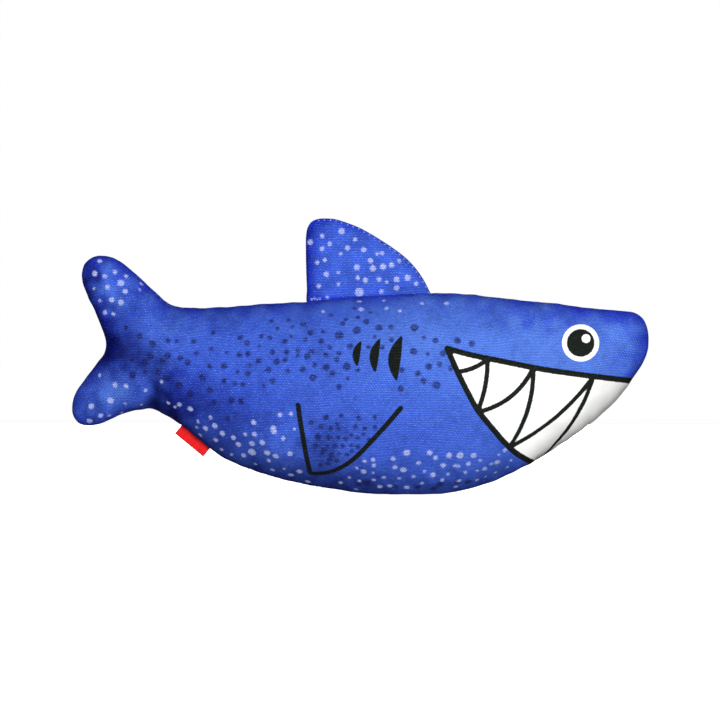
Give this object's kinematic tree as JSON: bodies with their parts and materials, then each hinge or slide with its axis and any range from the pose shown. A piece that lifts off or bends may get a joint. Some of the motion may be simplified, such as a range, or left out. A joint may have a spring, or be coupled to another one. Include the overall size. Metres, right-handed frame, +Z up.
{
  "type": "plush shark",
  "caption": "Stuffed canvas shark toy with sewn flanks, an upright dorsal fin, a bending forked tail, a seam label and a squeaker inside.",
  "frame": {"origin": "on the surface the toy stands on, under the middle of its length and thickness", "axes": "+X to the nose, +Y to the shark's left side, +Z up through the dorsal fin"},
  "size_m": [0.3404, 0.0802, 0.1633],
  "materials": {
    "printed_canvas": "matte",
    "fin_canvas": "matte",
    "lining_cloth": "matte",
    "polyester_fill": "matte",
    "seam_thread": "matte",
    "label_tape": "matte",
    "squeaker_plastic": "satin",
    "whistle_plastic": "gloss"
  },
  "bodies": {
    "body": {"right_body_panel": "printed_canvas", "left_body_panel": "printed_canvas", "right_body_lining": "lining_cloth", "left_body_lining": "lining_cloth", "body_fill": "polyester_fill", "body_seam_thread": "seam_thread", "closing_stitches": "seam_thread", "fin_root": "fin_canvas", "label_ends": "label_tape", "squeaker_back_shell": "squeaker_plastic", "squeaker_whistle": "whistle_plastic", "squeaker_reed_block": "whistle_plastic", "squeaker_reed": "whistle_plastic"},
    "tail": {"right_tail_panel": "printed_canvas", "left_tail_panel": "printed_canvas", "right_tail_lining": "lining_cloth", "left_tail_lining": "lining_cloth", "tail_fill": "polyester_fill", "tail_seam_thread": "seam_thread"},
    "dorsal_fin": {"right_fin_panel": "fin_canvas", "left_fin_panel": "fin_canvas", "fin_batting": "polyester_fill", "fin_seam_thread": "seam_thread"},
    "seam_label": {"label": "label_tape"},
    "squeaker_face": {"squeaker_front_shell": "squeaker_plastic"}
  },
  "joints": [
    {"name": "tail_bend", "type": "hinge", "parent": "body", "child": "tail", "pos_m": [-0.1184, 0, 0.082], "axis": [0, 0, 1], "range_deg": [-20, 20], "stiffness_Nm_per_rad": 0.12},
    {"name": "fin_flop", "type": "hinge", "parent": "body", "child": "dorsal_fin", "pos_m": [0.0052, 0, 0.11685], "axis": [0.999, 0, 0.0458], "range_deg": [-45, 45], "stiffness_Nm_per_rad": 0.05},
    {"name": "label_flip", "type": "hinge", "parent": "body", "child": "seam_label", "pos_m": [-0.09788, 0, 0.03329], "axis": [0.7749, 0, -0.632], "range_deg": [-70, 70], "stiffness_Nm_per_rad": 0.0005},
    {"name": "squeaker_press", "type": "slide", "parent": "body", "child": "squeaker_face", "axis": [0, 1, 0], "range_m": [0, 0.008], "stiffness_N_per_m": 400}
  ]
}
